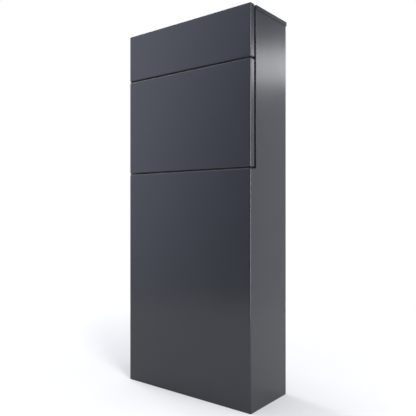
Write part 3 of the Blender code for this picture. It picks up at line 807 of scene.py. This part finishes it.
def makeLock():
    look = {
        "collar": 0.0028,
        "chamfer": 0.0006,
        "barrelR": 0.0092,
        "threads": 11,
        "firstThread": 0.0012,
        "pitch": 0.0014,
        "depth": 0.0004,
        "plugR": 0.0063,
        "plugPlay": 0.0002,
        "stubR": 0.004,
        "key": (0.0006, 0.005, 0.0038),
        "keyReach": 0.002,
        "ward": (0.0011, 0.005, 0.0006),
        "wardAt": (0.0005, 0, 0.0012),
    }
    low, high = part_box("lock_housing")
    middle = (low + high) / 2
    plateY = low.y + look["collar"]
    place = towards((0, 1, 0), (middle.x, plateY, middle.z))
    end = high.y - plateY
    collarR = (high.x - low.x) / 2
    barrelR, plugR = look["barrelR"], look["plugR"]
    bore = plugR + look["plugPlay"]
    c, collar = look["chamfer"], look["collar"]
    housing = [
        (bore + 0.0004, -collar),
        (collarR - 2 * c, -collar),
        (collarR - 0.8 * c, 0.25 * c - collar),
        (collarR - 0.2 * c, 0.9 * c - collar),
        (collarR, 1.8 * c - collar),
        (collarR, 0),
        (barrelR, 0),
    ]
    for i in range(look["threads"]):
        start = look["firstThread"] + i * look["pitch"]
        root = start + look["pitch"] / 2
        housing += [(barrelR, start), (barrelR - look["depth"], root)]
    housing += [(barrelR, end - c), (barrelR - c, end), (bore, end), (bore, 0.0005 - collar)]
    made = [turnedPiece("lock_housing", housing, place, 64), makeNut(middle, barrelR)]

    plugLow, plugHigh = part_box("lock_plug")
    proud, stub = plugLow.y - plateY, look["stubR"]
    stubEnd = plugHigh.y - plateY
    profile = [
        (0, proud + 0.0003), (plugR * 0.55, proud + 0.0003), (plugR * 0.60, proud),
        (plugR - 0.0007, proud), (plugR - 0.0002, proud + 0.0002), (plugR, proud + 0.0007),
        (plugR, end), (stub, end), (stub, stubEnd - 0.0004), (stub - 0.0004, stubEnd), (0, stubEnd),
    ]
    plug = turnedPiece("lock_plug", profile, place, 56)
    plug.modifiers.clear()
    way = Matrix.Translation((middle.x, plateY + look["keyReach"], middle.z))
    for size, at in ((look["key"], (0, 0, 0)), (look["ward"], look["wardAt"])):
        half = Vector(size)
        carve(plug, moveMesh(blockMesh(-half, half), way @ Matrix.Translation(at)))
    smooth(plug, 0.0001, 40)
    return made + [plug]


def makeNut(middle, barrelR):
    look = {"chamfer": 0.0009, "flat": 0.93, "rim": 0.00012}
    low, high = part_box("lock_nut")
    nutR, height = (high.x - low.x) / 2, high.y - low.y
    corners = [math.radians(60 * i) for i in range(6)]
    outline = [(middle.z - nutR * math.sin(a), middle.x + nutR * math.cos(a)) for a in corners]
    nut = objectFrom("lockNut", prismMesh(outline, low.y, high.y, "Y"))

    # a turned blank takes the nut's corners off at both ends and leaves its bore open
    bore, flatR, overR = barrelR + 0.0001, nutR * look["flat"], nutR * 1.02
    half = [(bore, -0.001), (flatR, -0.0002), (overR, look["chamfer"])]
    profile = half + [(radius, height - along) for radius, along in reversed(half)]
    place = towards((0, 1, 0), (middle.x, low.y, middle.z))
    blank = objectFrom("nutBlank", moveMesh(turnedMesh(profile, 48), place))
    common = nut.modifiers.new("chamfers", "BOOLEAN")
    common.operation = "INTERSECT"
    common.object = blank
    settle(nut)
    bpy.data.objects.remove(blank)
    smooth(nut, look["rim"])
    return fit(nut, "lock_nut")


def makeCam():
    look = {
        "boss": 0.010,
        "bossSteps": 28,
        "half": 0.0075,
        "reach": 0.048,
        "corner": 0.003,
        "cornerSteps": 6,
        "rim": 0.0002,
    }
    low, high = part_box("lock_cam")
    lockLow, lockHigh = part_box("lock_housing")
    middle = (lockLow + lockHigh) / 2
    boss, half, reach, corner = look["boss"], look["half"], look["reach"], look["corner"]
    start = math.asin(half / boss)
    outline = []
    for i in range(look["bossSteps"] + 1):
        angle = start + 2 * (math.pi - start) * i / look["bossSteps"]
        outline.append((boss * math.cos(angle), boss * math.sin(angle)))
    for centreZ, first in ((corner - half, -90), (half - corner, 0)):
        for i in range(look["cornerSteps"] + 1):
            angle = math.radians(first + 90 * i / look["cornerSteps"])
            x = reach - corner + corner * math.cos(angle)
            outline.append((x, centreZ + corner * math.sin(angle)))
    points = [(middle.z - z, middle.x + x) for x, z in outline]
    cam = objectFrom("lockCam", prismMesh(points, low.y, high.y, "Y"))
    smooth(cam, look["rim"])
    return fit(cam, "lock_cam")


def makeCamScrew():
    # pan head with a torx socket, against the plug's end
    look = {"overCam": 0.0021, "shankR": 0.0015, "shank": 0.003, "rimShare": 0.35}
    low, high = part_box("lock_cam_screw")
    headR, shankR = (high.x - low.x) / 2, look["shankR"]
    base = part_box("lock_cam")[1].y + look["overCam"]
    crown, share = high.y - base, look["rimShare"]
    profile = [(0, -look["shank"]), (shankR, -look["shank"]), (shankR, 0)]
    profile += [(headR, 0), (headR, crown * share)]
    for a in (0.4, 0.8, 1.05):
        profile.append((headR * math.cos(a), crown * (share + 0.60 * math.sin(a))))
    socket = len(profile)
    profile += [(0.0021, crown * 0.93), (0.0018, crown * 0.80), (0.0017, crown * 0.25)]
    profile += [(0, crown * 0.2)]
    lobes = {socket: 0.10, socket + 1: 0.14, socket + 2: 0.14}
    return turnedPiece("lock_cam_screw", profile, seat("lock_housing", base), 48, lobes)


lockPieces = makeLock() + [makeCam(), makeCamScrew()]
print("lock pieces:", len(lockPieces))


def makeRivets():
    look = {"head": 0.0032, "height": 0.0015, "mandrel": 0.00105, "shank": 0.0016, "steps": 28}
    look["rim"] = 0.00018
    grip = 2 * sheet + gap
    head, height, mandrel, shank, rim = (
        look[word] for word in ("head", "height", "mandrel", "shank", "rim")
    )
    profile = [
        (0, -grip - 0.0025), (0.0013, -grip - 0.0025), (0.0022, -grip - 0.0019),
        (0.0024, -grip - 0.0010), (0.0021, -grip - 0.0003), (shank, -grip), (shank, 0),
        (head, 0), (head, rim),
    ]
    for i in range(1, 7):
        angle = math.radians(13 * i)
        radius = mandrel + (head - mandrel) * math.cos(angle)
        profile.append((radius, rim + (height - rim) * math.sin(angle) / math.sin(1.36)))
    profile += [(mandrel, height - 0.00008), (mandrel, 0.0007), (0.0008, 0.0006), (0, 0.00075)]
    made = []
    for node in sorted(frame["nodes"]):
        if "_rivet_" in node:
            place = seat(node, rearY) if node.startswith("back") else seat(node, frameY, -1)
            made.append(turnedPiece(node, profile, place, look["steps"]))
    return made


def makeScrews():
    look = {"head": 0.0038, "height": 0.0015, "socket": 0.00150, "lobe": 0.13, "steps": 48}
    look["threads"], look["threadR"], look["rootR"], look["pitch"] = 8, 0.0020, 0.0016, 0.0011
    look["rim"] = 0.0004
    head, height, socket, lobe, rim = (
        look[word] for word in ("head", "height", "socket", "lobe", "rim")
    )
    profile = [(0, -0.012), (0.0008, -0.0118), (0.0018, -0.0100)]
    for i in range(look["threads"]):
        turn = look["pitch"] * i
        profile += [(look["threadR"], -0.0095 + turn), (look["rootR"], -0.00895 + turn)]
    profile += [(look["threadR"], 0), (head, 0), (head, rim)]
    profile += [
        (head * (0.62 + 0.38 * math.cos(a)), rim + (height - rim) * math.sin(a))
        for a in (0.4, 0.8, 1.2, math.pi / 2)
    ]
    first = len(profile)
    profile += [(socket * 1.12, height), (socket, height - 0.0001), (socket * 0.94, 0.0005)]
    profile += [(0, 0.0004)]
    lobes = {first: lobe * 0.8, first + 1: lobe, first + 2: lobe}
    made = []
    for word in ("left", "middle", "right"):
        node = f"base_screw_{word}"
        made.append(turnedPiece(node, profile, seat(node, rearY), look["steps"], lobes))
    return made


def makeBuffers():
    look = {"radius": 0.005, "waist": 0.0044, "tip": 0.0041, "crown": 0.0020, "steps": 32}
    look["crownSteps"] = 6
    r, waist, tip, crown = (look[word] for word in ("radius", "waist", "tip", "crown"))
    made = []
    for node in sorted(frame["nodes"]):
        if "_buffer_" not in node:
            continue
        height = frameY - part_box(node)[0].y
        shoulder = height - crown
        profile = [(0, 0), (r - 0.0003, 0), (r, 0.0003), (r, 0.0012), (r - 0.0002, 0.0015)]
        profile += [(waist, 0.0018), (waist - 0.0002, height * 0.55), (tip, shoulder)]
        for i in range(1, look["crownSteps"]):
            angle = math.radians(90 * i / look["crownSteps"])
            profile.append((tip * math.cos(angle), shoulder + crown * math.sin(angle)))
        profile.append((0, height))
        made.append(turnedPiece(node, profile, seat(node, frameY, -1), look["steps"]))
    return made


def makeSeals():
    # closed-cell foam strips: a flat foot and a softly crowned lip
    look = {"crown": 0.0008, "steps": 8, "rim": 0.0002}
    made = []
    for node in ("ledge_seal", "door_seal"):
        low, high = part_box(node)
        outline = [(low.y, low.z), (high.y, low.z)]
        middle, half = (low.y + high.y) / 2, (high.y - low.y) / 2
        for i in range(look["steps"] + 1):
            along = math.cos(math.pi * i / look["steps"])
            outline.append((middle + half * along, high.z - look["crown"] * along**2))
        seal = objectFrom(pieceName(node), prismMesh(outline, low.x, high.x, "X"))
        smooth(seal, look["rim"])
        made.append(fit(seal, node))
    return made


smallPieces = makeRivets() + makeScrews() + makeBuffers() + makeSeals()
print("rivets, screws, buffers and seals:", len(smallPieces))


def finishFrameNodes():
    # the frame's own pieces that stay: floor, brace and base
    kept = ["compartment_floor", "pedestal_brace", "base_plate", "base_frame"]
    kept += [f"anchor_pad_{end}_{side}" for end in ("front", "rear") for side in ("left", "right")]
    for node in kept:
        piece = frame["nodes"][node]
        piece.data.materials.clear()
        piece.data.materials.append(finishes[slotOf[node]])
        weld = piece.modifiers.new("weld", "WELD")
        weld.merge_threshold = near
        easeEdges(piece, 0.0002)
    print("frame nodes finished:", len(kept))


finishFrameNodes()


def makeStudio():
    look = {
        "floorRings": (0.3, 0.6, 0.9, 1.25, 1.6),
        "floorSteps": 64,
        # painted shade on the floor near the object, and painted brightening at the rim
        "floorNear": (0.765, 0.760, 0.755),
        "floorRim": (0.87, 0.86, 0.83),
        "sky": (0.60, 0.62, 0.67),
    }
    bm = bmesh.new()
    centre = bm.verts.new((0, 0, -gap))
    steps = look["floorSteps"]
    angles = [2 * math.pi * i / steps for i in range(steps)]
    rows = []
    for radius in look["floorRings"]:
        spots = [(radius * math.cos(a), radius * math.sin(a), -gap) for a in angles]
        rows.append([bm.verts.new(spot) for spot in spots])
    for i in range(steps):
        after = (i + 1) % steps
        bm.faces.new((centre, rows[0][i], rows[0][after]))
        for inner, outer in zip(rows, rows[1:]):
            bm.faces.new((inner[i], outer[i], outer[after], inner[after]))
    floor = objectFrom("studioFloor", bm)
    paper = newFinish("studioPaper")
    mottle = paper.cloud(0.5, 2)
    out = paper.node("ShaderNodeVectorMath", {"operation": "LENGTH"}, {0: paper.place()}, "Value")
    # painted shade: the floor is darker near the object and grows lighter and warmer towards the
    # rim, so that the rim fades into the white backdrop
    paintedVignette = paper.ramp(out * (1 / look["floorRings"][-1]), (0.35, 0), (0.90, 1))
    paper.surface(
        paper.cloud(0.002, 2) * 0.00002,
        Base_Color=paper.between(paintedVignette, look["floorNear"], look["floorRim"]),
        Roughness=0.9 + (mottle - 0.5) * 0.02,
    )
    floor.data.materials.append(paper.owner)

    # soft patches of the dome: way round and height in degrees, how wide, and their colour
    glows = {
        "left": {"turn": -60, "height": 18, "edge": 38, "core": 6, "colour": (1.66, 1.74, 2.12)},
        "behind": {"turn": 149, "height": 0, "edge": 40, "core": 12, "colour": (1.0, 1.0, 1.06)},
        "dark": {"turn": 142, "height": 38, "edge": 26, "core": 12, "colour": (0.15, 0.15, 0.16)},
        "dim": {"turn": -8, "height": 2, "edge": 36, "core": 16, "colour": (0.30, 0.31, 0.34)},
        "right": {"turn": 90, "height": 20, "edge": 50, "core": 20, "colour": (1.1, 1.1, 1.15)},
    }
    dome = Finish(bpy.data.worlds.new("studioDome"))
    way = dome.node("ShaderNodeTexCoord", output="Generated")
    light = look["sky"]
    for glow in glows.values():
        turn, height = math.radians(glow["turn"]), math.radians(glow["height"])
        flat = math.cos(height)
        aim = (math.sin(turn) * flat, -math.cos(turn) * flat, math.sin(height))
        settings = {"operation": "DOT_PRODUCT"}
        along = dome.node("ShaderNodeVectorMath", settings, {0: way, 1: aim}, "Value")
        edge, core = (math.cos(math.radians(glow[word])) for word in ("edge", "core"))
        light = dome.between(dome.ramp(along, (edge, 0), (core, 1)), light, glow["colour"])
    seen = dome.node("ShaderNodeLightPath", output="Is Camera Ray")
    lit = dome.node("ShaderNodeBackground", {}, {"Color": light, "Strength": 1.0})
    blank = dome.node("ShaderNodeBackground", {}, {"Color": 1.0, "Strength": 1.0})
    shown = dome.node("ShaderNodeMixShader", {}, {0: seen, 1: lit, 2: blank})
    dome.node("ShaderNodeOutputWorld", {}, {"Surface": shown})
    bpy.context.scene.world = dome.owner


def panelLight(name, look, place, aim):
    data = bpy.data.lights.new(name, "AREA")
    data.shape = "RECTANGLE"
    data.size, data.size_y = look["size"]
    data.energy = look["power"]
    turn = (place - aim).to_track_quat("Z", "Y").to_matrix().to_4x4()
    lamp = bpy.data.objects.new(name, data)
    lamp.matrix_world = Matrix.Translation(place) @ turn
    lamp.visible_camera = False
    bpy.context.scene.collection.objects.link(lamp)


def makeLights():
    look = {"height": 4, "power": 0.10, "spread": 60}
    ceiling = bpy.data.lights.new("ceiling", "SUN")
    ceiling.energy = look["power"]
    ceiling.angle = math.radians(look["spread"])
    lamp = bpy.data.objects.new("ceiling", ceiling)
    lamp.location = (0, 0, look["height"])
    bpy.context.scene.collection.objects.link(lamp)

    # the long strip whose reflection runs across the right side below the roof
    look = {"way": (0.777, 1.293, 0), "away": 2.4, "size": (1.6, 0.25), "power": 5.4}
    look["heightOnSide"], look["raise"], look["slide"] = 0.990, 0.73, 0.35
    away = Vector(look["way"]).normalized() * look["away"]
    onSide = Vector((casingHigh.x, 0, look["heightOnSide"]))
    place = onSide + away + Vector((look["slide"], 0, look["raise"]))
    panelLight("sideStrip", look, place, onSide)

    # tall strip and high box that only the folds mirror to the front
    folds = {
        "foldStrip": {"turn": 62, "height": 0.7, "away": 2.6, "size": (0.9, 2.6), "power": 110.0},
        "foldBox": {"turn": -92, "height": 3.9, "away": 2.7, "size": (1.8, 1.8), "power": 95.0},
    }
    halfway = Vector((0, 0, 0.6))
    for name, look in folds.items():
        angle = math.radians(look["turn"])
        flat = Vector((math.sin(angle), -math.cos(angle), 0)) * look["away"]
        panelLight(name, look, flat + Vector((0, 0, look["height"])), halfway)


def makeCamera():
    look = {"turn": 38.24, "pan": -0.37, "distance": 1.6463, "lens": 44.1, "sensor": 36}
    data = bpy.data.cameras.new("camera")
    data.lens = look["lens"]
    data.sensor_width = look["sensor"]
    middle = (Vector(cadBox[0]) + Vector(cadBox[1])) / 2
    turn = math.radians(look["turn"])
    camera = bpy.data.objects.new("camera", data)
    camera.location = middle + look["distance"] * Vector((math.sin(turn), -math.cos(turn), 0))
    camera.rotation_euler = (math.radians(90), 0, math.radians(look["turn"] + look["pan"]))
    bpy.context.scene.collection.objects.link(camera)
    bpy.context.scene.camera = camera


makeStudio()
makeLights()
makeCamera()
bpy.context.scene.view_settings.view_transform = "Standard"
print("studio set")
